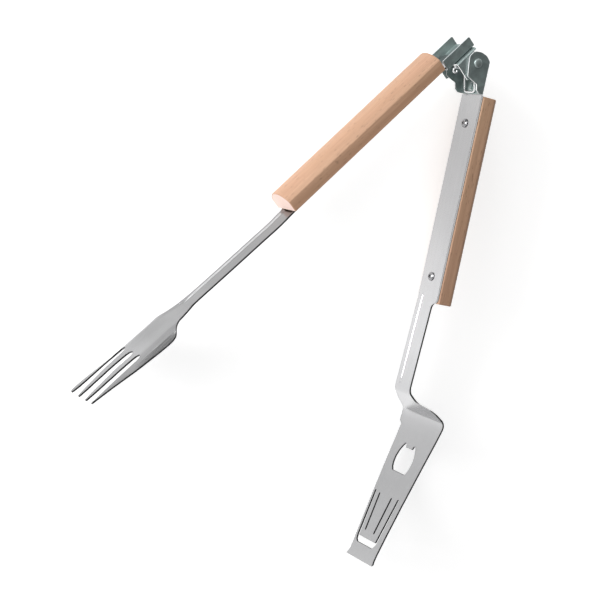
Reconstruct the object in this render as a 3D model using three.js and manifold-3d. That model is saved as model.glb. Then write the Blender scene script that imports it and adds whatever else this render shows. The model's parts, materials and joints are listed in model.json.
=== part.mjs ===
// Folding barbecue tongs: a roasting-fork arm and a slotted turner arm, each with a
// wooden grip, joined by a sheet-metal spring hinge. The fork arm pulls out of its socket.
//
// Frame: millimetres. The hinge axis is +Z, so the tongs lie on their side. The turner
// arm runs along -Y and the fork arm opens from it towards -X by OPEN_ANGLE.
// The model is first built with the hinge axis through the origin, then the whole
// group is moved so that the origin is the centre of the bounding box's underside.

import * as THREE from 'three';
import { mergeVertices } from 'three/addons/utils/BufferGeometryUtils.js';
import Module from 'manifold-3d';

const wasm = await Module();
wasm.setup();

// ---------------------------------------------------------------- dimensions (mm)
const OPEN_ANGLE = 38.16 * Math.PI / 180; // angle between the two arms, opened by the spring
const CLEAR = 0.3;                        // running gap between touching pieces

// hinge
const PIN_R = 2.0;             // rivet shank
const PIN_HOLE_R = 2.32;       // hole in the cheeks and bore of the bush
const PIN_HEAD_R = 3.4;
const BUSH_R = 3.1;
const SHEET_B = 1.1;           // bracket sheet
const BEND_R = 1.5;            // outer bend radius of the brackets
const CHEEK_T_NEAR = 15.0;     // outer face of the turner bracket's upper cheek (+Z side)
const CHEEK_T_FAR = -13.5;     // outer face of its lower cheek
const CHEEK_F_NEAR = 13.55;    // the same two faces of the fork bracket, nested one sheet lower
const CHEEK_F_FAR = -14.95;
const WEB_T = 10.65;           // outer face of the turner bracket's web, from the hinge axis
const WEB_F = 9.6;             // outer face of the fork bracket's web

// turner: one stamped blank, folded
const SHEET_T = 1.2;
const TANG_X = 10.97;          // inner face of the tang, from the hinge axis
const TANG_HALF = 12.6;
const BLADE_X = 31.76, BLADE_Y = -258.9; // where the crank meets the blade
const BLADE_TILT = 15.29 * Math.PI / 180;
const BLADE_LEN = 114.8;

// grips
const GRIP_LEN = 152.8;
const GRIP_TOP_T = 21.4;       // upper end of each grip, from the hinge axis along the arm
const GRIP_TOP_F = 22.6;
const GRIP_HALF = 13.2;
const GRIP_WALL = 8.7;         // height of the flat sides
const GRIP_CROWN = 14.8;       // thickness at the crown
const GRIP_CHAMFER = 1.3;
const SCREW_AT = [42.0, 155.6];
const SCREW_R = 1.75, SCREW_HEAD_R = 3.3, SCREW_HEAD_H = 1.7, SCREW_DEPTH = 9.0;

// fork
const FORK_Z = -0.5;           // the fork sits half a sheet below the hinge's middle
const FORK_T = 1.2;
const FORK_TANG_U = 11.2;       // inner face of the fork's tang, from the hinge axis
const FORK_HALF = 9.3;
const SHANK_LOW = 7.3;         // half width of the shank on its lower side
const FORK_TOP = 7.0;          // tang's end inside the socket
const FORK_LEN = 367.0;

// socket that takes the fork's tang
const SOCKET_SHEET = 1.0;
const SOCKET_U = 9.9;          // inner face of its web
const SOCKET_HALF = 11.3;
const SOCKET_WALL = 17.8;
const SOCKET_Q0 = -7.5, SOCKET_Q1 = 20.5;

// double torsion spring
const WIRE_R = 0.65;
const COIL_R = 4.25;
const COIL_PITCH = 1.42;

// ---------------------------------------------------------------- helpers
function solid(geometry) {
  const g = geometry.clone();
  g.deleteAttribute('normal'); g.deleteAttribute('uv');
  const m = mergeVertices(g, 1e-4);
  const mesh = new wasm.Mesh({
    numProp: 3,
    vertProperties: Float32Array.from(m.attributes.position.array),
    triVerts: Uint32Array.from(m.index.array),
  });
  return new wasm.Manifold(mesh);
}

function geometryOf(manifold) {
  const mesh = manifold.getMesh();
  const g = new THREE.BufferGeometry();
  const n = mesh.numProp, count = mesh.vertProperties.length / n;
  const pos = new Float32Array(count * 3);
  for (let i = 0; i < count; i++) for (let k = 0; k < 3; k++) pos[i * 3 + k] = mesh.vertProperties[i * n + k];
  g.setAttribute('position', new THREE.BufferAttribute(pos, 3));
  g.setIndex(new THREE.BufferAttribute(Uint32Array.from(mesh.triVerts), 1));
  g.computeVertexNormals();
  return g;
}

const V2 = (p) => new THREE.Vector2(p[0], p[1]);

// polygon in a plane with axes (A, B), extruded along C from c0 to c1
function prism(points, holes, axes, c0, c1, origin = [0, 0, 0]) {
  const shape = new THREE.Shape(points.map(V2));
  for (const h of holes) shape.holes.push(new THREE.Path(h.map(V2)));
  const g = new THREE.ExtrudeGeometry(shape, { depth: c1 - c0, bevelEnabled: false, curveSegments: 1 });
  g.translate(0, 0, c0);
  const [A, B, C] = axes.map((a) => new THREE.Vector3(...a));
  g.applyMatrix4(new THREE.Matrix4().makeBasis(A, B, C).setPosition(...origin));
  return g;
}
const X = [1, 0, 0], Y = [0, 1, 0], Z = [0, 0, 1];
const ALONG_Z = [X, Y, Z];        // polygon (x, y)
const ALONG_X = [Y, Z, X];        // polygon (y, z)
const ALONG_Y = [Z, X, Y];        // polygon (z, x)

// cylinder with its axis along one of X, Y, Z
function rod(axis, r, a, b, at, seg = 24) {
  const g = new THREE.CylinderGeometry(r, r, b - a, seg);
  g.translate(0, (a + b) / 2, 0);
  if (axis === 'x') g.rotateZ(-Math.PI / 2);
  if (axis === 'z') g.rotateX(Math.PI / 2);
  g.translate(...at);
  return g;
}

// rounded corner polyline: points [x, y, radius]
function filleted(points, closed = true, seg = 6) {
  const out = [], n = points.length;
  for (let i = 0; i < n; i++) {
    const p = new THREE.Vector2(points[i][0], points[i][1]);
    const r = points[i][2] || 0;
    if (!r || (!closed && (i === 0 || i === n - 1))) { out.push([p.x, p.y]); continue; }
    const a = V2(points[(i + n - 1) % n]).sub(p), b = V2(points[(i + 1) % n]).sub(p);
    const la = a.length(), lb = b.length();
    a.normalize(); b.normalize();
    const half = Math.acos(THREE.MathUtils.clamp(a.dot(b), -1, 1)) / 2;
    let d = r / Math.tan(half);
    d = Math.min(d, la * 0.49, lb * 0.49);
    const rr = d * Math.tan(half);
    const c = a.clone().add(b).normalize().multiplyScalar(rr / Math.sin(half)).add(p);
    const s = a.clone().multiplyScalar(d).add(p).sub(c), e = b.clone().multiplyScalar(d).add(p).sub(c);
    const a0 = Math.atan2(s.y, s.x);
    let da = Math.atan2(e.y, e.x) - a0;
    while (da > Math.PI) da -= 2 * Math.PI;
    while (da < -Math.PI) da += 2 * Math.PI;
    for (let k = 0; k <= seg; k++) {
      const t = a0 + da * k / seg;
      out.push([c.x + rr * Math.cos(t), c.y + rr * Math.sin(t)]);
    }
  }
  return out;
}

// closed strip of thickness t to the right of an open polyline's direction of travel
function strip(path, t) {
  const other = path.map((p, i) => {
    const a = V2(path[Math.max(i - 1, 0)]), b = V2(path[Math.min(i + 1, path.length - 1)]);
    const d0 = V2(p).sub(a), d1 = b.sub(V2(p));
    if (d0.length() > 0) d0.normalize();
    if (d1.length() > 0) d1.normalize();
    const d = d0.clone().add(d1).normalize();
    const k = 1 / Math.max(0.5, Math.sqrt((1 + (d0.length() && d1.length() ? d0.dot(d1) : 1)) / 2));
    return [p[0] + d.y * t * k, p[1] - d.x * t * k];
  });
  return path.concat(other.reverse());
}

// tube of n sides swept along points, with flat closed ends
class Polyline3 extends THREE.Curve {
  constructor(pts) { super(); this.pts = pts; this.curve = new THREE.CatmullRomCurve3(pts, false, 'centripetal'); }
  getPoint(t, target = new THREE.Vector3()) { return this.curve.getPoint(t, target); }
}
function wire(pts, r, steps, sides = 8) {
  const shape = new THREE.Shape();
  for (let i = 0; i < sides; i++) {
    const a = 2 * Math.PI * i / sides;
    i ? shape.lineTo(r * Math.cos(a), r * Math.sin(a)) : shape.moveTo(r, 0);
  }
  return new THREE.ExtrudeGeometry(shape, { steps, bevelEnabled: false, extrudePath: new Polyline3(pts) });
}

const lerp = (table, x) => {
  if (x <= table[0][0]) return table[0][1];
  for (let i = 1; i < table.length; i++) {
    if (x <= table[i][0]) {
      const [x0, y0] = table[i - 1], [x1, y1] = table[i];
      return y0 + (y1 - y0) * (x - x0) / (x1 - x0);
    }
  }
  return table[table.length - 1][1];
};

const steel = () => new THREE.MeshStandardMaterial({ color: 0xb9bcbe, roughness: 0.32, metalness: 1.0 });
const plated = () => new THREE.MeshStandardMaterial({ color: 0x66706c, roughness: 0.45, metalness: 0.7 });
const bright = () => new THREE.MeshStandardMaterial({ color: 0xd6d8da, roughness: 0.22, metalness: 1.0 });
const beech = () => new THREE.MeshStandardMaterial({ color: 0xcf9c78, roughness: 0.6, metalness: 0.0 });

const tongs = new THREE.Group();
const turnerSide = new THREE.Group();   // arm along -Y, outer side towards +X
const forkSide = new THREE.Group();     // local x = outward (u), local y = along the arm (q)
forkSide.rotation.z = Math.PI - OPEN_ANGLE;
tongs.add(turnerSide, forkSide);

function add(parent, name, geometry, material) {
  const mesh = new THREE.Mesh(geometry, material);
  mesh.name = name;
  parent.add(mesh);
  return mesh;
}

// ---------------------------------------------------------------- turner blank
// side profile (x, y) of the inner face, from the tang's top end to the blade's tip
const sinB = Math.sin(BLADE_TILT), cosB = Math.cos(BLADE_TILT);
const onBlade = (l) => BLADE_Y - l * cosB;
const turnerPath = filleted([
  [TANG_X, 1.5], [TANG_X, -172, 60], [7.8, -241.5, 7], [BLADE_X, BLADE_Y, 5.5],
  [BLADE_X - BLADE_LEN * sinB, BLADE_Y - BLADE_LEN * cosB],
], false, 8);
const turnerSheet = prism(strip(turnerPath, -SHEET_T).reverse(), [], ALONG_Z, -40, 40);

// outline (y, z): upper edge is +Z, lower edge is -Z and finely toothed along the blade
const upperEdge = [
  [1.5, 8.6], [0.3, 9.8], [-19.8, 9.8], [-20.6, 10.6], [-20.6, 12.0], [-21.4, 12.6],
  [-171.4, 12.6], [-172.8, 12.1], [-173.8, 10.8], [-174.9, 8.9], [-176.2, 7.6], [-178.2, 7.2],
  [-240.0, 7.2], [-243.0, 6.6], [-245.6, 5.6], [-247.3, 5.6], [-248.3, 7.2], [-248.9, 10.4],
  [-249.6, 15.4], [-250.6, 20.2], [-252.4, 23.6], [-255.4, 25.0], [-259.5, 25.3],
  [onBlade(5), 25.2], [onBlade(12.7), 24.7], [onBlade(35), 22.4], [onBlade(66), 19.5],
  [onBlade(90.5), 17.7], [onBlade(106), 16.9], [onBlade(111), 17.0], [onBlade(113.4), 17.6],
  [onBlade(114.6), 16.6],
];
const lowerPlain = [
  [1.5, -8.6], [0.3, -9.8], [-19.8, -9.8], [-20.6, -10.6], [-20.6, -12.0], [-21.4, -12.6],
  [-239.5, -12.6], [-242.4, -13.8], [-245.4, -16.8], [-249.3, -21.2], [-252.4, -23.4],
  [-255.6, -25.8], [-258.6, -28.8], [onBlade(1.4), -30.0], [onBlade(4.6), -29.6], [onBlade(8.4), -28.4], [onBlade(9.8), -25.8],
];
const TOOTH = 2.1, toothed = [];
const lowerBlade = [[9.2, 25.2], [42.8, 23.1], [66.2, 21.2], [90, 18.9], [107.5, 17.2]];
for (let l = 11.0, k = 0; l <= 107.5; l += TOOTH / 2, k++) toothed.push([onBlade(l), -(lerp(lowerBlade, l) - (k % 2 ? 0 : 0.55))]);
const lowerEdge = [...lowerPlain, ...toothed, [onBlade(109.5), -16.7], [onBlade(112), -17.6], [onBlade(114.6), -19.0]];
const turnerOutline = [...upperEdge, ...lowerEdge.reverse()];

const HOLE = [
  [22.4, -9.0], [25.6, -11.2], [29.4, -12.9], [34.2, -13.9], [38.4, -13.6], [42.0, -12.4], [44.6, -10.2],
  [44.8, 6.6], [42.0, 8.0], [38.4, 8.9], [34.2, 9.1], [29.4, 8.1], [25.6, 6.3], [22.4, 4.4],
  [23.2, 2.6], [25.6, 1.8], [25.6, -6.3], [23.2, -7.2],
].map(([l, z]) => [onBlade(l), z]);
const slot = (l0, z0, l1, z1, w) => {
  const h = w / 2, r = h * 0.7;
  return [[l0, z0 - r], [l0 - r, z0], [l0, z0 + r], [l1, z1 + r], [l1 + r, z1], [l1, z1 - r]].map(([l, z]) => [onBlade(l), z]);
};
const SLOT_W = 2.0;
const UCUT = [
  [63.6, -19.0], [62.9, -18.1], [63.6, -17.2], [98.6, -13.4], [98.6, 9.2], [96.6, 9.4], [63.6, 12.2],
  [62.9, 13.1], [63.6, 14.0], [97.6, 11.4], [99.8, 11.0], [103.4, 8.4], [103.4, -12.4], [101.6, -14.6], [98.4, -15.6],
].map(([l, z]) => [onBlade(l), z]);
const turnerHoles = [
  HOLE, UCUT, slot(64.4, -11.9, 92.6, -9.0, SLOT_W), slot(64.4, 4.4, 92.8, 2.9, SLOT_W),
];
const ring = (y, z, r, n = 16) => Array.from({ length: n }, (_, i) => [y + r * Math.cos(2 * Math.PI * i / n), z + r * Math.sin(2 * Math.PI * i / n)]);
const SCREW_Z = -1.0;
for (const s of SCREW_AT) turnerHoles.push(ring(-s, SCREW_Z, SCREW_R + CLEAR));
const T_RIVET_Y = -5.5, T_RIVET_Z = [-5.0, 6.0], T_RIVET_R = 1.6;
for (const z of T_RIVET_Z) turnerHoles.push(ring(T_RIVET_Y, z, T_RIVET_R + CLEAR));
const turnerCut = prism(turnerOutline, turnerHoles, ALONG_X, -20, 60);
add(turnerSide, 'turner', geometryOf(solid(turnerSheet).intersect(solid(turnerCut))), steel());

// ---------------------------------------------------------------- wooden grips
// section (z, outward): flat towards the tang, flat sides, arched crown
function gripSection(z0, u0) {
  const c = GRIP_CHAMFER, h = GRIP_HALF, w = GRIP_WALL, t = GRIP_CROWN;
  const pts = [[-h + c, 0], [h - c, 0], [h, c], [h, w]];
  const n = 16;
  for (let i = 1; i < n; i++) {
    const a = Math.PI * i / n, ce = Math.cos(a), se = Math.sin(a);
    pts.push([h * Math.sign(ce) * Math.pow(Math.abs(ce), 0.82), w + (t - w) * Math.pow(se, 0.82)]);
  }
  pts.push([-h, w], [-h, c]);
  return pts.map(([z, u]) => [z + z0, u + u0]);
}
// the fork's grip: lower flat sides, a plain circular arch with crisp arrises, small inner chamfers
const GRIP_F_WALL = 8.2;
const GRIP_F_CHAMFER = 0.4;
function archSection(z0, u0) {
  const c = GRIP_F_CHAMFER, h = GRIP_HALF, w = GRIP_F_WALL, t = GRIP_CROWN;
  const r = (h * h + (t - w) * (t - w)) / (2 * (t - w)), a0 = Math.asin(h / r);
  const pts = [[-h + c, 0], [h - c, 0], [h, c]];
  const n = 16;
  for (let i = 0; i <= n; i++) {
    const a = a0 - 2 * a0 * i / n;
    pts.push([r * Math.sin(a), t - r + r * Math.cos(a)]);
  }
  pts.push([-h, c]);
  return pts.map(([z, u]) => [z + z0, u + u0]);
}
const GRIP_T_X = TANG_X + SHEET_T + CLEAR;        // inner face of the turner's grip
const GRIP_F_U = FORK_TANG_U + FORK_T + CLEAR;    // inner face of the fork's grip
{
  let g = solid(prism(gripSection(0, GRIP_T_X), [], ALONG_Y, -GRIP_TOP_T - GRIP_LEN, -GRIP_TOP_T));
  for (const s of SCREW_AT) g = g.subtract(solid(rod('x', SCREW_R + CLEAR, GRIP_T_X - 1, GRIP_T_X + SCREW_DEPTH, [0, -s, SCREW_Z], 16)));
  add(turnerSide, 'turner_handle', geometryOf(g), beech());
  let f = solid(prism(archSection(FORK_Z, GRIP_F_U), [], ALONG_Y, GRIP_TOP_F, GRIP_TOP_F + GRIP_LEN));
  for (const s of SCREW_AT) f = f.subtract(solid(rod('x', SCREW_R + CLEAR, GRIP_F_U - 1, GRIP_F_U + SCREW_DEPTH, [0, s, FORK_Z], 16)));
  add(forkSide, 'fork_handle', geometryOf(f), beech());
}

// wood screws: low domed head on the tang's inner face, shank into the grip, cross recess
function woodScrew(faceX, y, z) {
  const tip = faceX + SHEET_T + CLEAR + SCREW_DEPTH - 1.0;
  const head = faceX - 0.3;
  const profile = [
    [0, head - SCREW_HEAD_H], [1.3, head - SCREW_HEAD_H + 0.06], [2.4, head - SCREW_HEAD_H + 0.4], [3.0, head - SCREW_HEAD_H + 0.85],
    [SCREW_HEAD_R, head - 0.35], [SCREW_HEAD_R, head], [SCREW_R, head], [SCREW_R, tip - 2.2], [0.25, tip], [0, tip],
  ];
  const g = new THREE.LatheGeometry(profile.map(V2), 18);
  g.rotateZ(-Math.PI / 2);
  g.translate(0, y, z);
  let m = solid(g);
  for (const turn of [0, Math.PI / 2]) {
    const arm = new THREE.BoxGeometry(1.0, 3.4, 0.7);
    arm.rotateX(turn + 0.35);
    arm.translate(head - SCREW_HEAD_H, y, z);
    m = m.subtract(solid(arm));
  }
  return geometryOf(m);
}
add(turnerSide, 'turner_screw_upper', woodScrew(TANG_X, -SCREW_AT[0], SCREW_Z), bright());
add(turnerSide, 'turner_screw_lower', woodScrew(TANG_X, -SCREW_AT[1], SCREW_Z), bright());
add(forkSide, 'fork_screw_upper', woodScrew(FORK_TANG_U, SCREW_AT[0], FORK_Z), bright());
add(forkSide, 'fork_screw_lower', woodScrew(FORK_TANG_U, SCREW_AT[1], FORK_Z), bright());

// ---------------------------------------------------------------- fork blank
// mid-line height of the outer face (u) along the arm (q), and the curl of the head's sides
const forkRise = [[7, 12.4], [174, 12.4], [189, 11.9], [206, 12.3], [237, 13.0], [268, 13.9], [285, 14.5], [303, 15.1], [321, 15.6], [345, 16.0], [367, 15.9]];
const forkDrop = [[276, 0], [284, 0.9], [291, 2.7], [297, 3.9], [303, 4.1], [311, 4.0], [321, 3.7], [331, 3.2], [340, 2.1], [353, 0.3], [367, -1.9]];
const forkRoll = [[276, 0], [300, 0.05], [338, 0.055], [367, 0.03]];   // slight twist of the head about the arm
const dish = (q, z) => {
  const k = Math.max(0, (Math.abs(z) - 12.5) / 8.0);
  return lerp(forkDrop, q) * Math.pow(k, 1.7) + lerp(forkRoll, q) * z;
};
{
  const q0 = 262, nq = 26, nz = 18, half = 22;
  // straight run of tang and shank
  const run = [[FORK_TANG_U + FORK_T, FORK_TOP], ...[174, 189, 206, 237, 268].map((q) => [lerp(forkRise, q), q])];
  const runPath = filleted(run.map((p, i) => [p[0], p[1], i && i < 5 ? 60 : 0]), false, 3);
  const runSheet = solid(prism(strip(runPath, -FORK_T).reverse(), [], ALONG_Z, -30, 30));
  const cutRun = solid(prism([[FORK_TOP, -30], [q0 + 4, -30], [q0 + 4, 30], [FORK_TOP, 30]], [], ALONG_X, 0, 30));
  // head: a slab bent to the dished form
  const slab = new THREE.BoxGeometry(FORK_T, FORK_LEN + 2 - q0, 2 * half, 1, nq, nz);
  slab.translate(0, (FORK_LEN + 2 + q0) / 2, 0);
  const p = slab.attributes.position;
  for (let i = 0; i < p.count; i++) {
    const q = p.getY(i), z = p.getZ(i);
    p.setX(i, lerp(forkRise, q) - dish(q, z) - FORK_T / 2 + p.getX(i));
  }
  // outline (q, z)
  const headEdge = [
    [264, FORK_HALF], [274, 9.7], [280, 10.8], [285, 12.4], [289, 14.6], [292, 17.0], [294.4, 19.2], [296.4, 20.3], [299, 20.7], [304, 20.8],
    [312, 20.6], [321, 20.2], [331, 19.8], [341, 19.4], [353, 18.8], [362, 18.3], [365.6, 17.9], [366.8, 17.2],
  ];
  const ROOT = 321.5, PITCH = 12.0;
  const tineIn = [];                     // from the outer tine's tip round the slots to the other outer tine
  const centres = [18 - 0.9, 6, -6, -18 + 0.9];
  const halfAt = (q) => lerp([[321, 2.9], [345, 2.35], [360, 1.5], [365.5, 0.95], [367, 0.45]], q);
  const mid = (i, q) => [lerp([[321, 17.4], [367, 17.1]], q), 6, -6, -lerp([[321, 17.4], [367, 17.1]], q)][i];
  for (let i = 0; i < 3; i++) {
    const a = i, b = i + 1;
    const zc = (mid(a, ROOT) - halfAt(321) + mid(b, ROOT) + halfAt(321)) / 2, wd = (mid(a, ROOT) - halfAt(321) - mid(b, ROOT) - halfAt(321)) / 2;
    tineIn.push([366.8, mid(a, 367) - 0.45], [365.2, mid(a, 365) - halfAt(365.5)], [360, mid(a, 360) - halfAt(360)], [345, mid(a, 345) - halfAt(345)], [326, mid(a, 326) - 2.8]);
    tineIn.push([323, zc + wd * 0.86], [ROOT, zc + wd * 0.45], [ROOT - 0.5, zc], [ROOT, zc - wd * 0.45], [323, zc - wd * 0.86]);
    tineIn.push([326, mid(b, 326) + 2.8], [345, mid(b, 345) + halfAt(345)], [360, mid(b, 360) + halfAt(360)], [365.2, mid(b, 365) + halfAt(365.5)], [366.8, mid(b, 367) + 0.45]);
  }
  const edge = [[FORK_TOP, 7.8], [FORK_TOP + 2, FORK_HALF], ...headEdge];
  // the shank is drawn in a little more on its lower side
  const lowSide = edge.filter(([q]) => q < 260 || q > 293);
  lowSide.splice(2, 0, [171, FORK_HALF], [177, SHANK_LOW], [256, SHANK_LOW], [264, 7.6], [274, 8.6], [280, 10.0], [285, 11.8], [289, 14.1], [292, 16.7]);
  const outline = [...edge, ...tineIn, ...lowSide.reverse().map(([q, z]) => [q, -z])].map(([q, z]) => [q, z + FORK_Z]);
  const holes = SCREW_AT.map((s) => ring(s, FORK_Z, SCREW_R + CLEAR));
  const cut = solid(prism(outline, holes, ALONG_X, -5, 40));
  const head = solid(slab).subtract(solid(prism([[q0 - 3, -40], [q0 + 4, -40], [q0 + 4, 40], [q0 - 3, 40]], [], ALONG_X, 0, 40)));
  const blank = runSheet.intersect(cutRun).add(head).intersect(cut);
  add(forkSide, 'fork', geometryOf(blank), steel());
}

// ---------------------------------------------------------------- hinge brackets
// U section (z, outward) with rounded bends: cheeks reach inwards, web on the outer side
function uSection(zFar, zNear, webOuter, reach, t, r) {
  const o = filleted([[zFar, reach], [zNear, reach], [zNear, webOuter, r], [zFar, webOuter, r]], true, 5);
  const i = filleted([[zFar + t, reach - 1], [zNear - t, reach - 1], [zNear - t, webOuter - t, r - t], [zFar + t, webOuter - t, r - t]], true, 4);
  return { o, i };
}
{
  const { o, i } = uSection(CHEEK_T_FAR, CHEEK_T_NEAR, WEB_T, -12, SHEET_B, BEND_R);
  let m = solid(prism(o, [], ALONG_Y, -30, 20)).subtract(solid(prism(i, [], ALONG_Y, -31, 21)));
  const side = filleted([
    [WEB_T, -20.6], [WEB_T, 2.4, 3], [6.6, 6.6, 6], [1.6, 8.2, 8], [-4.4, 7.8, 5], [-7.9, 3.4, 5], [-6.9, -4.9], [-5.9, -10.9, 0.8],
    [-1.2, -13.0], [2.9, -14.4, 1.6], [3.9, -18.6, 0.8], [6.4, -20.6],
  ], true, 5);
  m = m.intersect(solid(prism(side, [], ALONG_Z, -30, 30)));
  m = m.subtract(solid(rod('z', PIN_HOLE_R, -30, 30, [0, 0, 0], 24)));
  for (const z of T_RIVET_Z) m = m.subtract(solid(rod('x', T_RIVET_R + CLEAR, WEB_T - 4, WEB_T + 2, [0, T_RIVET_Y, z], 16)));
  // pressed stiffening rib down the middle of the web's open end
  const rib = filleted([[WEB_T - SHEET_B - 0.9, -17.4, 0.5], [WEB_T - SHEET_B - 0.9, -12.6, 0.5], [WEB_T - SHEET_B + 0.4, -11.8], [WEB_T - SHEET_B + 0.4, -18.0]], true, 3);
  m = m.add(solid(prism(rib, [], ALONG_Z, -2.6, 0.6)));
  add(turnerSide, 'turner_bracket', geometryOf(m), plated());
}
const F_RIVET_Q = [-3.2, 3.2], F_RIVET_R = 1.6;
{
  const { o, i } = uSection(CHEEK_F_FAR, CHEEK_F_NEAR, WEB_F, -12, SHEET_B, BEND_R);
  let m = solid(prism(o, [], ALONG_Y, -30, 30)).subtract(solid(prism(i, [], ALONG_Y, -31, 31)));
  const side = filleted([
    [8.3, -6.0], [WEB_F, -6.0], [WEB_F, 13.3], [-4.8, 13.3, 0.8], [-6.4, 9, 3], [-7.9, 3.6, 4], [-8.1, -1.6, 4], [-5.6, -6.2, 5], [-0.5, -8.0, 6], [4.2, -6.9, 3], [8.3, -2.9],
  ].map(([u, q, r]) => [u, q, r]), true, 5);
  m = m.intersect(solid(prism(side, [], ALONG_Z, -30, 30)));
  m = m.subtract(solid(rod('z', PIN_HOLE_R, -30, 30, [0, 0, 0], 24)));
  for (const q of F_RIVET_Q) m = m.subtract(solid(rod('x', F_RIVET_R + CLEAR, WEB_F - 4, WEB_F + 2, [0, q, FORK_Z], 16)));
  add(forkSide, 'fork_bracket', geometryOf(m), plated());
}

// socket: channel that opens outwards, with two short lips turned over the fork's tang
{
  const t = SOCKET_SHEET, h = SOCKET_HALF, z0 = FORK_Z;
  const outer = filleted([[z0 - h, SOCKET_WALL], [z0 - h, SOCKET_U, 1.3], [z0 + h, SOCKET_U, 1.3], [z0 + h, SOCKET_WALL]], true, 4);
  const inner = filleted([[z0 - h + t, SOCKET_WALL + 1], [z0 - h + t, SOCKET_U + t, 0.35], [z0 + h - t, SOCKET_U + t, 0.35], [z0 + h - t, SOCKET_WALL + 1]], true, 3);
  let m = solid(prism(outer, [], ALONG_Y, SOCKET_Q0, SOCKET_Q1)).subtract(solid(prism(inner, [], ALONG_Y, SOCKET_Q0 - 1, SOCKET_Q1 + 1)));
  const sidePlan = filleted([[SOCKET_U - 1, SOCKET_Q0], [SOCKET_U - 1, SOCKET_Q1], [SOCKET_WALL, SOCKET_Q1, 0.8], [SOCKET_WALL, SOCKET_Q0, 0.9]], true, 4);
  m = m.intersect(solid(prism(sidePlan, [], ALONG_Z, -30, 30)));
  const lipU = FORK_TANG_U + FORK_T + CLEAR;
  for (const s of [-1, 1]) {
    const a = z0 + s * (h - t - 2.6), b = z0 + s * (h - t + 0.4);
    m = m.add(solid(prism([[lipU, 12.5], [lipU + 0.9, 12.5], [lipU + 0.9, 19.0], [lipU, 19.0]], [], ALONG_Z, Math.min(a, b), Math.max(a, b))));
  }
  for (const q of F_RIVET_Q) m = m.subtract(solid(rod('x', F_RIVET_R + CLEAR, SOCKET_U - 2, SOCKET_U + 3, [0, q, z0], 16)));
  add(forkSide, 'fork_socket', geometryOf(m), plated());
}

// tubular rivets through the webs: domed head on one side, clenched head on the other
function webRivet(u0, u1, y, z, r) {
  const g = new THREE.LatheGeometry([
    [0, u0 - CLEAR - 1.0], [1.4, u0 - CLEAR - 0.85], [2.3, u0 - CLEAR - 0.4], [2.6, u0 - CLEAR], [r, u0 - CLEAR],
    [r, u1 + CLEAR], [2.5, u1 + CLEAR], [2.3, u1 + CLEAR + 0.5], [1.5, u1 + CLEAR + 0.8], [0, u1 + CLEAR + 0.9],
  ].map(V2), 16);
  g.rotateZ(-Math.PI / 2);
  g.translate(0, y, z);
  return g;
}
add(turnerSide, 'turner_rivet_lower', webRivet(WEB_T - SHEET_B, TANG_X + SHEET_T, T_RIVET_Y, T_RIVET_Z[0], T_RIVET_R), bright());
add(turnerSide, 'turner_rivet_upper', webRivet(WEB_T - SHEET_B, TANG_X + SHEET_T, T_RIVET_Y, T_RIVET_Z[1], T_RIVET_R), bright());
add(forkSide, 'socket_rivet_outer', webRivet(WEB_F - SHEET_B, SOCKET_U + SOCKET_SHEET, F_RIVET_Q[0], FORK_Z, F_RIVET_R), bright());
add(forkSide, 'socket_rivet_inner', webRivet(WEB_F - SHEET_B, SOCKET_U + SOCKET_SHEET, F_RIVET_Q[1], FORK_Z, F_RIVET_R), bright());

// ---------------------------------------------------------------- hinge pin, bush, washer
{
  const top = CHEEK_T_NEAR + CLEAR, washer = 0.8, low = CHEEK_F_FAR - CLEAR;
  const under = low - washer - CLEAR;
  const profile = [
    [0, under - 1.3], [1.5, under - 1.2], [2.5, under - 0.8], [3.0, under - 0.2], [3.0, under], [PIN_R, under],
    [PIN_R, top], [PIN_HEAD_R, top], [PIN_HEAD_R - 0.15, top + 0.45], [2.5, top + 1.0], [1.4, top + 1.25], [0, top + 1.32],
  ];
  const g = new THREE.LatheGeometry(profile.map(V2), 24);
  g.rotateX(Math.PI / 2);
  add(turnerSide, 'hinge_rivet', g, plated());
  const ringOf = (r0, r1, a, b) => {
    const q = new THREE.LatheGeometry([[r0, a], [r1, a], [r1, b], [r0, b], [r0, a]].map(V2), 24);
    q.rotateX(Math.PI / 2);
    return q;
  };
  add(turnerSide, 'hinge_washer', ringOf(PIN_HOLE_R, 4.2, low - washer, low), bright());
  const bushTop = CHEEK_F_NEAR - SHEET_B - CLEAR, bushLow = CHEEK_T_FAR + SHEET_B + CLEAR;
  add(turnerSide, 'hinge_bush', ringOf(PIN_HOLE_R, BUSH_R, bushLow, bushTop), bright());
}

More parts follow.
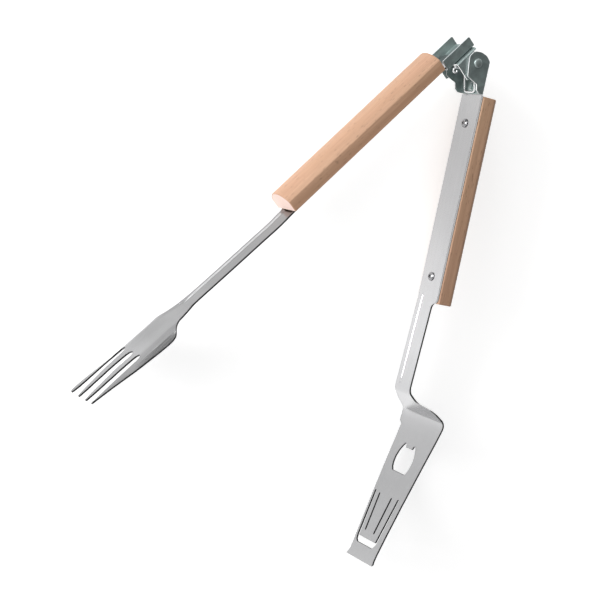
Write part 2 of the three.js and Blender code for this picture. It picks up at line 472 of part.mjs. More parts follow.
// ---------------------------------------------------------------- double torsion spring
// centre loop bears on the turner bracket's web, outer legs bear on the fork bracket's web
const LOOP_Z = [-7.0, 5.4];
const TURNS = 2.25;
const restPoint = (x, y, z) => new THREE.Vector3(x, y, z);
{
  // each coil runs from its outer end inwards to the loop, on the +X side of the pin
  const pts = [];
  const coil = (z0, z1, a0, a1) => {
    const n = 26;
    for (let i = 0; i <= n; i++) {
      const t = i / n, a = a0 + (a1 - a0) * t;
      pts.push(restPoint(COIL_R * Math.cos(a), COIL_R * Math.sin(a), z0 + (z1 - z0) * t));
    }
  };
  const run = COIL_PITCH * TURNS;
  const end = -0.12;                                   // where the wire leaves the coil for the loop
  coil(LOOP_Z[0] - run, LOOP_Z[0], end + 2 * Math.PI * TURNS, end);
  pts.push(restPoint(5.0, -5, LOOP_Z[0]), restPoint(7.3, -13.5, LOOP_Z[0]), restPoint(8.4, -17.6, LOOP_Z[0]), restPoint(8.55, -19.2, LOOP_Z[0] + 0.9), restPoint(8.6, -19.5, LOOP_Z[0] + 2.4));
  pts.push(restPoint(8.6, -19.5, LOOP_Z[1] - 2.4), restPoint(8.55, -19.2, LOOP_Z[1] - 0.9), restPoint(8.4, -17.6, LOOP_Z[1]), restPoint(7.3, -13.5, LOOP_Z[1]), restPoint(5.0, -5, LOOP_Z[1]));
  coil(LOOP_Z[1], LOOP_Z[1] + run, end, end + 2 * Math.PI * TURNS);
  add(turnerSide, 'torsion_spring', wire(pts, WIRE_R, 118, 6), bright());
  // outer legs, in the fork side's frame: from the pin along the web to a curled end
  const leg = (z, s) => {
    const p = [];
    for (let i = 0; i <= 6; i++) {
      const a = -0.9 + 0.85 * i / 6;
      p.push(restPoint(COIL_R * Math.cos(a), COIL_R * Math.sin(a), z));
    }
    p.push(restPoint(5.1, 5, z), restPoint(6.7, 11.5, z), restPoint(7.3, 14.2, z));
    // curl at the end
    const cx = 6.0, cy = 15.6, rc = 1.55;
    for (let i = 0; i <= 8; i++) {
      const a = -0.35 + (Math.PI * 1.35) * i / 8;
      p.push(restPoint(cx + rc * Math.cos(a), cy + rc * Math.sin(a), z));
    }
    return wire(p, WIRE_R, 30, 6);
  };
  add(forkSide, 'spring_leg_upper', leg(LOOP_Z[1] + run + COIL_PITCH, 1), bright());
  add(forkSide, 'spring_leg_lower', leg(LOOP_Z[0] - run - COIL_PITCH, -1), bright());
}

// ---------------------------------------------------------------- origin at the underside's centre
const box = new THREE.Box3().setFromObject(tongs);
tongs.position.set(-(box.min.x + box.max.x) / 2, -(box.min.y + box.max.y) / 2, -box.min.z);
tongs.updateMatrixWorld(true);

export default tongs;
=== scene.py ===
# Looks for the folding barbecue tongs: fork arm, turner arm, wooden grips and the spring hinge.
# Arm frames, in millimetres from the hinge axis: turner arm (x outward, y up the arm, z along the
# hinge axis); fork arm (u outward, q down the arm, z along the hinge axis).
import math
import bpy
import bmesh
import numpy as np
from mathutils import Matrix, Vector
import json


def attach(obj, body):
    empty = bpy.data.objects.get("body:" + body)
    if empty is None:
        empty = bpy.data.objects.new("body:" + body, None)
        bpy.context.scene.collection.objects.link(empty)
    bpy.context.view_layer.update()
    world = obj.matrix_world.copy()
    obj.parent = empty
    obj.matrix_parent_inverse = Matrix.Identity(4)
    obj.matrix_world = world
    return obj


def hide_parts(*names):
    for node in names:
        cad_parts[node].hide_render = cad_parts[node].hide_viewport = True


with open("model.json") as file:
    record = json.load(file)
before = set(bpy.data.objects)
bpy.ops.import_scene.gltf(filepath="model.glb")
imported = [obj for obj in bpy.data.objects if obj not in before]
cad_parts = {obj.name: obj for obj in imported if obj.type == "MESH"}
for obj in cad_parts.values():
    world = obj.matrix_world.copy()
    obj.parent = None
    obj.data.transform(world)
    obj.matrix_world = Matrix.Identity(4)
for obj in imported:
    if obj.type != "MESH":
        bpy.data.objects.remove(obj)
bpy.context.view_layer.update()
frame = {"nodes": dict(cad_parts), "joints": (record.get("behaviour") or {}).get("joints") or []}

JOINTS = {j["name"]: j for j in frame["joints"]}
PIVOT = Vector(JOINTS["arm_hinge"]["pos_m"])
A_F = Vector(JOINTS["fork_pull"]["axis"]).normalized()      # down the fork arm
U_F = Vector((A_F.y, -A_F.x, 0.0))                          # outward from the fork arm
TURNER = Matrix.Translation(PIVOT)
FORK = Matrix.Translation(PIVOT) @ Matrix(((U_F.x, A_F.x, 0, 0), (U_F.y, A_F.y, 0, 0), (0, 0, 1, 0), (0, 0, 0, 1)))
MM = 0.001

# ------------------------------------------------------------------ camera
cam_data = bpy.data.cameras.new("camera")
cam_data.lens = 97.062
cam_data.sensor_width = 36.0
cam_data.clip_start, cam_data.clip_end = 0.05, 50
cam = bpy.data.objects.new("camera", cam_data)
bpy.context.scene.collection.objects.link(cam)
bpy.context.scene.camera = cam
rv = Vector((0.10974608, 0.51462025, -0.19205018))
R = Matrix.Rotation(rv.length, 3, rv.normalized())
t = Vector((119.4336, 170.69567, -1163.57793)) * MM
cam.matrix_world = Matrix.Translation(-(R.transposed() @ t) + PIVOT) @ R.transposed().to_4x4()

# ------------------------------------------------------------------ node helpers
def nodes_of(mat):
    mat.use_nodes = True
    nt = mat.node_tree
    nt.nodes.clear()
    out = nt.nodes.new("ShaderNodeOutputMaterial")
    bsdf = nt.nodes.new("ShaderNodeBsdfPrincipled")
    nt.links.new(bsdf.outputs[0], out.inputs[0])
    return nt, bsdf


class Net:
    """Small helper that wires shader nodes; fork=True turns the coordinates into the fork arm's frame."""

    def __init__(self, nt, fork=False):
        self.nt = nt
        self.coord = nt.nodes.new("ShaderNodeTexCoord").outputs["Object"]
        if fork:
            self.coord = self.mapped((1, 1, 1), (0, 0, -math.atan2(U_F.y, U_F.x)))

    def link(self, value, socket):
        if isinstance(value, bpy.types.NodeSocket):
            self.nt.links.new(value, socket)
        elif value is not None:
            socket.default_value = value

    def mapped(self, scale, rot=(0, 0, 0), loc=(0, 0, 0), src=None):
        m = self.nt.nodes.new("ShaderNodeMapping")
        self.nt.links.new(src or self.coord, m.inputs["Vector"])
        m.inputs["Scale"].default_value = scale
        m.inputs["Rotation"].default_value = rot
        m.inputs["Location"].default_value = loc
        return m.outputs[0]

    def noise(self, vec, scale=1.0, detail=3.0, rough=0.5, distortion=0.0):
        n = self.nt.nodes.new("ShaderNodeTexNoise")
        self.nt.links.new(vec, n.inputs["Vector"])
        n.inputs["Scale"].default_value = scale
        n.inputs["Detail"].default_value = detail
        n.inputs["Roughness"].default_value = rough
        n.inputs["Distortion"].default_value = distortion
        return n.outputs[0]

    def math(self, op, a, b=None, c=None, clamp=False):
        m = self.nt.nodes.new("ShaderNodeMath")
        m.operation = op
        m.use_clamp = clamp
        for v, s in zip((a, b, c), m.inputs):
            self.link(v, s)
        return m.outputs[0]

    def ramp(self, fac, stops, smooth=False):
        r = self.nt.nodes.new("ShaderNodeValToRGB")
        r.color_ramp.interpolation = "EASE" if smooth else "LINEAR"
        els = r.color_ramp.elements
        while len(els) < len(stops):
            els.new(0.5)
        for e, (p, c) in zip(els, stops):
            e.position = p
            e.color = (*c, 1.0) if len(c) == 3 else c
        self.nt.links.new(fac, r.inputs[0])
        return r.outputs[0]

    def span(self, v, a, b, lo=0.0, hi=1.0):
        m = self.nt.nodes.new("ShaderNodeMapRange")
        self.nt.links.new(v, m.inputs[0])
        m.inputs[1].default_value, m.inputs[2].default_value = a, b
        m.inputs[3].default_value, m.inputs[4].default_value = lo, hi
        return m.outputs[0]

    def mix(self, fac, a, b, kind="MIX"):
        m = self.nt.nodes.new("ShaderNodeMix")
        m.data_type = "RGBA"
        m.blend_type = kind
        self.link(fac, m.inputs[0])
        for v, s in ((a, m.inputs[6]), (b, m.inputs[7])):
            if isinstance(v, bpy.types.NodeSocket):
                self.nt.links.new(v, s)
            else:
                s.default_value = (*v, 1.0)
        return m.outputs[2]

    def bump(self, height, strength, distance, normal=None):
        b = self.nt.nodes.new("ShaderNodeBump")
        b.inputs["Strength"].default_value = strength
        b.inputs["Distance"].default_value = distance
        self.nt.links.new(height, b.inputs["Height"])
        if normal:
            self.nt.links.new(normal, b.inputs["Normal"])
        return b.outputs[0]


def srgb(r, g, b):
    def f(c):
        c /= 255.0
        return c / 12.92 if c <= 0.04045 else ((c + 0.055) / 1.055) ** 2.4
    return (f(r), f(g), f(b))


# ------------------------------------------------------------------ materials
def stainless(name, painted_tones, rough, fork=False, painted_shade_band=None):
    """Satin stainless sheet: fine grinding lines along the arm, faint rub marks; painted_tones is (mm along the arm,
    base reflectance), a ramp that paints the reflected light and shade along the arm; painted_shade_band (z from, z to,
    tone, y from, y to) paints shade on one side of the arm.
    """
    mat = bpy.data.materials.new(name)
    nt, b = nodes_of(mat)
    n = Net(nt, fork)
    fine = n.noise(n.mapped((2600, 24, 2600)), 1.0, 2.0, 0.6)
    mid = n.noise(n.mapped((700, 9, 700), loc=(3.1, 0.4, 1.7)), 1.0, 3.0, 0.6)
    cloud = n.noise(n.mapped((42, 26, 42)), 1.0, 4.0, 0.55, 0.4)
    rub = n.noise(n.mapped((260, 90, 260), rot=(0.2, 0.1, 0.7)), 1.0, 3.0, 0.6)
    r = n.math("ADD", n.span(fine, 0.3, 0.7, -0.03, 0.03), n.span(cloud, 0.3, 0.7, -0.015, 0.03))
    r = n.math("ADD", r, n.span(rub, 0.58, 0.8, 0.0, 0.04))
    n.link(n.math("ADD", r, rough, clamp=True), b.inputs["Roughness"])
    sep = nt.nodes.new("ShaderNodeSeparateXYZ")
    nt.links.new(n.coord, sep.inputs[0])
    # Painted light: the base reflectance follows a ramp along the arm that paints its brighter and darker reflected
    # stretches and shade.
    lo, hi = painted_tones[0][0], painted_tones[-1][0]
    along = n.span(sep.outputs[1], lo * MM, hi * MM)
    tone = n.ramp(along, [((y - lo) / (hi - lo), (v, v, v * 1.012)) for y, v in painted_tones], smooth=False)
    # Painted shade: the band darkens the base colour towards one side of the arm over a stretch of it.
    if painted_shade_band:
        z0, z1, fac, y0, y1 = painted_shade_band
        band = n.math("MULTIPLY", n.span(sep.outputs[2], z0 * MM, z1 * MM), n.span(sep.outputs[1], y0 * MM, y1 * MM))
        tone = n.mix(band, tone, (fac, fac, fac * 1.01))
    tone = n.mix(n.span(mid, 0.3, 0.7, 0.0, 0.07), tone, (0.25, 0.25, 0.26))
    tone = n.mix(n.span(fine, 0.45, 0.75, 0.0, 0.05), tone, (1.0, 1.0, 1.0))
    tone = n.mix(n.span(cloud, 0.45, 0.75, 0.0, 0.05), tone, (0.2, 0.2, 0.22))
    n.link(tone, b.inputs["Base Color"])
    b.inputs["Metallic"].default_value = 1.0
    b.inputs["Anisotropic"].default_value = 0.3
    nrm = n.bump(fine, 0.10, 0.00001)
    nrm = n.bump(mid, 0.08, 0.00003, nrm)
    nt.links.new(nrm, b.inputs["Normal"])
    return mat


def plated(name, tint, rough, metal=0.75):
    """Grey-green passivated sheet: fine rolled texture, cloudy plating, small rub marks."""
    mat = bpy.data.materials.new(name)
    nt, b = nodes_of(mat)
    n = Net(nt)
    grain = n.noise(n.mapped((1800, 1800, 1800)), 1.0, 3.0, 0.6)
    cloud = n.noise(n.mapped((160, 160, 160), loc=(1.3, 2.2, 0.4)), 1.0, 4.0, 0.6, 0.6)
    speck = n.noise(n.mapped((900, 900, 500), loc=(7, 1, 3)), 1.0, 2.0, 0.5)
    tone = n.mix(n.span(cloud, 0.35, 0.68), tuple(c * 0.84 for c in tint), tuple(c * 1.16 for c in tint))
    tone = n.mix(n.span(cloud, 0.52, 0.75, 0.0, 0.35), tone, (tint[0] * 1.0, tint[1] * 1.12, tint[2] * 1.05))
    tone = n.mix(n.span(speck, 0.66, 0.78, 0.0, 0.6), tone, tuple(min(1.0, c * 1.9) for c in tint))
    n.link(tone, b.inputs["Base Color"])
    r = n.math("ADD", n.span(cloud, 0.3, 0.7, -0.06, 0.09), n.span(grain, 0.3, 0.7, -0.04, 0.04))
    n.link(n.math("ADD", r, rough, clamp=True), b.inputs["Roughness"])
    b.inputs["Metallic"].default_value = metal
    nrm = n.bump(grain, 0.25, 0.00004)
    nrm = n.bump(cloud, 0.12, 0.0003, nrm)
    nt.links.new(nrm, b.inputs["Normal"])
    return mat


def bright(name, tint, rough, scale=1500, metal=1.0):
    """Bright drawn steel with fine draw lines for fasteners and wire; the same recipe makes the near-black painted
    dark-reflection edges, the white painted highlight lines and the painted shade in the recesses.
    """
    mat = bpy.data.materials.new(name)
    nt, b = nodes_of(mat)
    n = Net(nt)
    a = n.noise(n.mapped((scale, scale * 0.35, scale)), 1.0, 3.0, 0.6)
    c = n.noise(n.mapped((220, 220, 220)), 1.0, 3.0, 0.6)
    n.link(n.mix(n.span(c, 0.35, 0.7), tuple(x * 0.9 for x in tint), tint), b.inputs["Base Color"])
    n.link(n.math("ADD", n.span(a, 0.3, 0.7, -0.05, 0.07), rough, clamp=True), b.inputs["Roughness"])
    b.inputs["Metallic"].default_value = metal
    nt.links.new(n.bump(a, 0.2, 0.00003), b.inputs["Normal"])
    return mat


def beech(name, seed, light, dark, pink, end=False, fork=False):
    """Oiled beech: long fibres, soft growth bands, short dark ray flecks; end=True is the sawn end grain."""
    mat = bpy.data.materials.new(name)
    nt, b = nodes_of(mat)
    n = Net(nt, fork)
    off = (seed * 0.137, seed * 0.211, seed * 0.083)
    if not end:
        warp = n.noise(n.mapped((30, 7, 30), loc=off), 1.0, 3.0, 0.55, 0.3)
        band = n.noise(n.mapped((210, 5.5, 210), loc=off), 1.0, 4.0, 0.55, 0.35)
        fibre = n.noise(n.mapped((1500, 32, 1500), loc=off), 1.0, 4.0, 0.65, 0.15)
        pore = n.noise(n.mapped((2600, 160, 2600), loc=off), 1.0, 2.0, 0.5)
        fleck = n.noise(n.mapped((1150, 230, 1150), loc=(off[0] + 2, off[1], off[2])), 1.0, 1.0, 0.5)
        tone = n.mix(n.span(band, 0.34, 0.66), dark, light)
        tone = n.mix(n.span(warp, 0.38, 0.64, 0.0, 0.55), tone, pink)
        tone = n.mix(n.span(fibre, 0.36, 0.66, 0.0, 0.34), tone, tuple(c * 0.66 for c in dark))
        tone = n.mix(n.span(fleck, 0.655, 0.72, 0.0, 0.5), tone, tuple(c * 0.48 for c in dark))
        tone = n.mix(n.span(pore, 0.64, 0.74, 0.0, 0.35), tone, tuple(c * 0.6 for c in dark))
        h = n.math("ADD", n.math("MULTIPLY", fibre, 0.6), n.math("MULTIPLY", pore, 0.5))
        nrm = n.bump(h, 0.35, 0.00008)
        nrm = n.bump(band, 0.15, 0.0003, nrm)
        rgh = n.math("ADD", n.span(fibre, 0.3, 0.7, -0.05, 0.08), n.span(band, 0.3, 0.7, -0.03, 0.04))
        base_r = 0.47
    else:
        sep = nt.nodes.new("ShaderNodeSeparateXYZ")
        wob = n.noise(n.mapped((90, 90, 90), loc=off), 1.0, 3.0, 0.55)
        nt.links.new(n.mapped((1, 1, 1)), sep.inputs[0])
        x = n.math("ADD", sep.outputs[0], 0.021)
        z = n.math("ADD", sep.outputs[2], 0.017)
        rr = n.math("SQRT", n.math("ADD", n.math("MULTIPLY", x, x), n.math("MULTIPLY", z, z)))
        ringv = n.math("ADD", n.math("MULTIPLY", rr, 2600.0), n.math("MULTIPLY", wob, 4.0))
        rings = n.math("SINE", ringv)
        pore = n.noise(n.mapped((2400, 300, 2400), loc=off), 1.0, 2.0, 0.6)
        ray = n.noise(n.mapped((500, 200, 2600), rot=(0, 0.5, 0), loc=off), 1.0, 2.0, 0.5)
        tone = n.mix(n.span(rings, -1.0, 1.0), dark, light)
        tone = n.mix(n.span(wob, 0.35, 0.65, 0.0, 0.5), tone, pink)
        tone = n.mix(n.span(pore, 0.56, 0.75, 0.0, 0.5), tone, tuple(c * 0.6 for c in dark))
        tone = n.mix(n.span(ray, 0.58, 0.72, 0.0, 0.35), tone, tuple(min(1, c * 1.12) for c in light))
        nrm = n.bump(pore, 0.4, 0.0001)
        nrm = n.bump(rings, 0.12, 0.0001, nrm)
        rgh = n.span(pore, 0.3, 0.7, -0.04, 0.08)
        base_r = 0.62
    n.link(tone, b.inputs["Base Color"])
    n.link(n.math("ADD", rgh, base_r, clamp=True), b.inputs["Roughness"])
    b.inputs["Specular IOR Level"].default_value = 0.42
    nt.links.new(nrm, b.inputs["Normal"])
    return mat


# Painted light: the tone tables paint the reflected light and shade along each arm; the fork's band paints shade on the
# near side of its head.
STEEL_T = stainless("stainless_turner", [(-375, .45), (-352, .40), (-312, .37), (-272, .405), (-264, .44), (-257, .52), (-250, .54), (-236, .57),
                                         (-208, .63), (-180, .62), (-143, .605), (-111, .555), (-62, .50), (0, .485)], 0.22)
STEEL_F = stainless("stainless_fork", [(0, .50), (166, .45), (176, .26), (192, .25), (224, .245), (250, .26), (262, .29), (272, .28), (285, .31), (305, .30),
                                       (320, .36), (345, .34), (367, .34)], 0.20, fork=True, painted_shade_band=(9.0, 20.0, 0.22, 268, 282))
# Painted light: the near-black edge materials paint the dark reflection seen in the sheet's cut edges; the white lip
# and side materials paint highlight lines on edges and ridges.
STEEL_EDGE = bright("stainless_edge_painted_dark_reflection", (0.05, 0.05, 0.052), 0.32, 2400)
STEEL_LIP = bright("stainless_painted_highlight_lip", (0.86, 0.86, 0.87), 0.20, 2400)
STEEL_EDGE_F = bright("fork_edge_painted_dark_reflection", (0.11, 0.11, 0.112), 0.32, 2400)
STEEL_LIP_F = bright("fork_painted_highlight_strip", (0.72, 0.72, 0.73), 0.20, 2400)
STEEL_SIDE = bright("stainless_painted_highlight_edge", (0.90, 0.90, 0.90), 0.34, 2400, metal=0.25)
PLATE = plated("grey_green_plating", (0.32, 0.385, 0.378), 0.38)
# Painted highlight: the plates' cut edges get a near-white material, the socket's edges a dimmer painted highlight.
PLATE_EDGE = bright("plate_edge_painted_highlight", (0.92, 0.93, 0.93), 0.30, 2000, metal=0.35)
PLATE_DULL = bright("socket_edge_painted_highlight", (0.50, 0.54, 0.54), 0.34, 2000, metal=0.5)
RIVET = plated("plated_rivet", (0.40, 0.46, 0.455), 0.33, 0.85)
BRIGHT = bright("bright_fastener", (0.52, 0.52, 0.53), 0.17)
SCREW = bright("bright_wood_screw", (0.36, 0.36, 0.37), 0.16)
# Painted shade: near-black for the cross recesses in the screw heads.
RECESS = bright("fastener_recess_painted_shade", (0.06, 0.06, 0.062), 0.4)
WIRE = bright("spring_wire", (0.95, 0.95, 0.96), 0.20, 900, metal=0.7)
WOOD_T = beech("beech_turner_grip", 3, (0.490, 0.308, 0.196), (0.388, 0.233, 0.143), (0.46, 0.268, 0.186))
WOOD_F = beech("beech_fork_grip", 8, (0.485, 0.300, 0.190), (0.395, 0.228, 0.140), (0.475, 0.265, 0.185), fork=True)
# Partly painted light: the end-grain colours are much paler than the side grain, painting the strongly lit end faces.
END_T = beech("beech_end_grain_turner", 5, (0.90, 0.72, 0.64), (0.80, 0.60, 0.52), (0.88, 0.68, 0.62), end=True)
END_F = beech("beech_end_grain_fork", 6, (0.80, 0.62, 0.55), (0.70, 0.52, 0.45), (0.78, 0.58, 0.53), end=True, fork=True)


# ------------------------------------------------------------------ mesh helpers
def to_object(bm, name, place, body, mats, replaces=(), smooth=32.0, weighted=True):
    """Makes an object from a bmesh in an arm's frame (metres), puts it in place and on its body."""
    bmesh.ops.recalc_face_normals(bm, faces=bm.faces)
    bm.transform(TURNER.inverted() @ place)
    me = bpy.data.meshes.new(name)
    bm.to_mesh(me)
    bm.free()
    for m in mats:
        me.materials.append(m)
    me.shade_smooth()
    me.set_sharp_from_angle(angle=math.radians(smooth))
    ob = bpy.data.objects.new(name, me)
    bpy.context.scene.collection.objects.link(ob)
    ob.matrix_world = TURNER
    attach(ob, body)
    if replaces:
        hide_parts(*replaces)
    if weighted:
        w = ob.modifiers.new("weighted_normal", "WEIGHTED_NORMAL")
        w.keep_sharp = True
        w.weight = 60
    return ob


def from_cad(node, place, join=0.02, flat=0.4):
    """A cleaned copy of a CAD node's mesh as a bmesh in the arm's own frame, in millimetres."""
    me = frame["nodes"][node].data
    bm = bmesh.new()
    bm.from_mesh(me)
    bm.transform(Matrix.Diagonal((1000, 1000, 1000, 1)) @ place.inverted())
    bmesh.ops.remove_doubles(bm, verts=bm.verts, dist=join)
    bmesh.ops.dissolve_limit(bm, angle_limit=math.radians(flat), verts=bm.verts, edges=bm.edges, use_dissolve_boundaries=False, delimit={"NORMAL"})
    bmesh.ops.dissolve_degenerate(bm, dist=0.005, edges=bm.edges)
    return bm


def slice_axis(bm, axis, values, inside=None):
    """Cuts the mesh along planes square to an axis, optionally only the faces that inside(centre) keeps."""
    no = Vector([1.0 if i == axis else 0.0 for i in range(3)])
    for v in values:
        co = no * v
        if inside is None:
            geom = bm.verts[:] + bm.edges[:] + bm.faces[:]
        else:
            faces = [f for f in bm.faces if inside(f)]
            edges = {e for f in faces for e in f.edges}
            verts = {x for e in edges for x in e.verts}
            geom = list(verts) + list(edges) + faces
        bmesh.ops.bisect_plane(bm, geom=geom, dist=1e-4, plane_co=co, plane_no=no, clear_inner=False, clear_outer=False)


def bevel_sharp(bm, angle, width, segments=2, material=-1, keep=None):
    bm.normal_update()
    edges = [e for e in bm.edges if len(e.link_faces) == 2 and e.calc_face_angle(0.0) > math.radians(angle) and (keep is None or keep(e))]
    bmesh.ops.bevel(bm, geom=edges, offset=width, offset_type="OFFSET", segments=segments, profile=0.6,
                    affect="EDGES", clamp_overlap=False, material=material, loop_slide=True)


def scaled(bm):
    bm.transform(Matrix.Diagonal((MM, MM, MM, 1)))
    return bm


def smoothstep(x):
    x = np.clip(x, 0.0, 1.0)
    return x * x * (3 - 2 * x)


def spline(table):
    """Smooth interpolation through a table of (x, y), kept from overshooting (Fritsch-Carlson)."""
    xs = np.array([p[0] for p in table], float)
    ys = np.array([p[1] for p in table], float)
    h = np.diff(xs)
    s = np.diff(ys) / h
    m = np.zeros(len(xs))
    m[0], m[-1] = s[0], s[-1]
    for i in range(1, len(xs) - 1):
        if s[i - 1] * s[i] > 0:
            w1, w2 = 2 * h[i] + h[i - 1], h[i] + 2 * h[i - 1]
            m[i] = (w1 + w2) / (w1 / s[i - 1] + w2 / s[i])

    def f(x):
        x = min(max(x, xs[0]), xs[-1])
        i = min(int(np.searchsorted(xs, x, side="right")) - 1, len(xs) - 2)
        i = max(i, 0)
        k = (x - xs[i]) / h[i]
        return ((2 * k**3 - 3 * k**2 + 1) * ys[i] + (k**3 - 2 * k**2 + k) * h[i] * m[i]
                + (-2 * k**3 + 3 * k**2) * ys[i + 1] + (k**3 - k**2) * h[i] * m[i + 1])
    return f


def linear(table):
    xs = [p[0] for p in table]
    ys = [p[1] for p in table]
    return lambda x: float(np.interp(x, xs, ys))


# ------------------------------------------------------------------ turner: stamped sheet with a pressed channel
def turner_press(y, z):
    """Depth of the pressed channel in the shank (towards +x), with rounded upper corners and press ripples at the crank."""
    left, right, top = -7.2, 5.1, -166.8
    # signed distance inside a rounded rectangle open at the bottom
    r = 4.0
    cx = min(max(z, left + r), right - r)
    cy = min(y, top - r)
    d = r - math.hypot(z - cx, y - cy)
    ramp = float(smoothstep((d + 0.35) / 0.7))
    fade = float(smoothstep((y + 241.0) / 12.0))
    depth = 0.42 * ramp * fade
    ripple = 0.0
    if -254 < y < -234 and z < 7:
        k = math.exp(-((y + 243.5) / 5.0) ** 2)
        ripple = 0.10 * k * math.sin((z * 1.25 + (y + 243) * 0.35)) * math.exp(-((z + 4) / 6.0) ** 2)
        ripple += 0.07 * k * math.sin(z * 2.3 - (y + 240) * 0.5) * math.exp(-((z - 2) / 5.0) ** 2)
    return depth + ripple


def build_turner():
    bm = from_cad("turner", TURNER)
    slice_axis(bm, 1, np.concatenate([np.arange(-262.0, -171.0, 1.25), np.arange(-170.6, -165.0, 0.3)]))
    slice_axis(bm, 2, np.concatenate([np.arange(-12.0, -8.0, 0.9), np.arange(-7.7, -6.65, 0.14), np.arange(-6.4, 4.4, 0.8), np.arange(4.6, 5.7, 0.14)]), inside=lambda f: -255 < f.calc_center_median().y < -160)
    for v in bm.verts:
        if -256 < v.co.y < -160:
            v.co.x += turner_press(v.co.y, v.co.z)
    bm.normal_update()
    # Painted light on the edges: the edge faces all round the blank and the holes' walls get the near-black painted
    # dark reflection, except the tang's edges alongside the grip, which get a white painted highlight unless they face
    # -z; at the crank, edge and some ramp faces get the dark one, and so do the bevels.
    for f in bm.faces:
        n = f.normal
        y = f.calc_center_median().y
        if y > -236:
            sheet = Vector((1, 0, 0))
        elif y > -262:
            sheet = None
        else:
            sheet = Vector((math.cos(0.26686), -math.sin(0.26686), 0))
        if sheet is not None:
            f.material_index = (1 if y < -175 or n.z < 0 else 3) if abs(n.dot(sheet)) < 0.55 else 0
        else:
            f.material_index = 1 if abs(n.z) > 0.25 or n.x * n.y < -0.3 else 0
    bevel_sharp(bm, 50, 0.13, 2, material=1)
    return to_object(scaled(bm), "turner_sheet", TURNER, "turner_arm", [STEEL_T, STEEL_EDGE, STEEL_LIP, STEEL_SIDE], ["turner"])


# ------------------------------------------------------------------ fork: stamped sheet, channelled shank, dished head
T_F = 1.2
RISE = [[7, 12.4], [174, 12.4], [189, 11.9], [206, 12.3], [237, 13.0], [268, 13.9], [285, 14.5], [303, 15.1], [321, 15.6], [345, 16.0], [367, 15.9]]
DROP = [[276, 0], [284, 0.9], [291, 2.7], [297, 3.9], [303, 4.1], [311, 4.0], [321, 3.7], [331, 3.2], [340, 2.1], [353, 0.3], [367, -1.9]]
ROLL = [[276, 0], [300, 0.05], [338, 0.055], [367, 0.03]]
lin = [linear(x) for x in (RISE, DROP, ROLL)]
smo = [spline(x) for x in (RISE, DROP, ROLL)]


def fork_mid(fs, q, z):
    k = max(0.0, (abs(z) - 12.5) / 8.0)
    return fs[0](q) - (fs[1](q) * k**1.7 + fs[2](q) * z) - T_F / 2


def fork_press(q, z):
    """Channel pressed into the shank between two narrow side lands; it runs out into the head."""
    k = float(smoothstep((q - 262) / 26.0))
    left, right = -4.8 - 5.3 * k, 7.0 + 5.0 * k
    top = 168.0
    d = min(z - left, right - z, q - top)
    ramp = float(smoothstep((d + 0.7) / 1.4))
    fade = 1.0 - float(smoothstep((q - 276) / 20.0))
    # a soft hollow down the middle of the head
    hollow = 0.55 * float(smoothstep((q - 285) / 14.0)) * (1 - float(smoothstep((q - 318) / 22.0))) * math.exp(-(z / 9.0) ** 2)
    return 0.75 * ramp * fade + hollow


def build_fork():
    bm = from_cad("fork", FORK, join=0.02, flat=0.05)
    slice_axis(bm, 1, np.concatenate([np.arange(164.0, 262.0, 3.0), np.arange(262.0, 352.0, 1.6)]))
    slice_axis(bm, 2, np.concatenate([np.arange(-7.6, -3.6, 0.25), np.arange(-3.2, 5.6, 0.8), np.arange(5.8, 8.6, 0.3)]), inside=lambda f: 160 < f.calc_center_median().y < 300)
    slice_axis(bm, 2, np.arange(-20.8, 20.5, 1.3), inside=lambda f: f.calc_center_median().y > 262)
    bm.normal_update()
    edge = {}
    for f in bm.faces:
        c = f.calc_center_median()
        g = 0.4
        du = (fork_mid(smo, c.y, c.z + g) - fork_mid(smo, c.y, c.z - g)) / (2 * g)
        dq = (fork_mid(smo, c.y + g, c.z) - fork_mid(smo, c.y - g, c.z)) / (2 * g)
        n = Vector((1, -dq, -du)).normalized()
        edge[f] = abs(f.normal.dot(n)) < 0.55
    for v in bm.verts:
        u, q, z = v.co
        if q > 158:
            w = (u - fork_mid(lin, q, z)) / (T_F / 2)
            w = max(-1.0, min(1.0, w))
            v.co.x = fork_mid(smo, q, z) + w * T_F / 2 - fork_press(q, z)
    # Painted light: faces through the sheet's thickness, and the bevels below, get the near-black painted dark
    # reflection; a thin strip along the channel's far-side ramp gets a painted highlight.
    for f in bm.faces:
        c = f.calc_center_median()
        painted_highlight_band = 180 < c.y < 272 and -5.35 < c.z < -4.45 and f.normal.x > 0
        f.material_index = 1 if edge[f] else 2 if painted_highlight_band else 0
    bevel_sharp(bm, 50, 0.10, 2, material=1, keep=lambda e: max(v.co.y for v in e.verts) < 354)
    return to_object(scaled(bm), "fork_sheet", FORK, "fork_tool", [STEEL_F, STEEL_EDGE_F, STEEL_LIP_F], ["fork"], smooth=40)


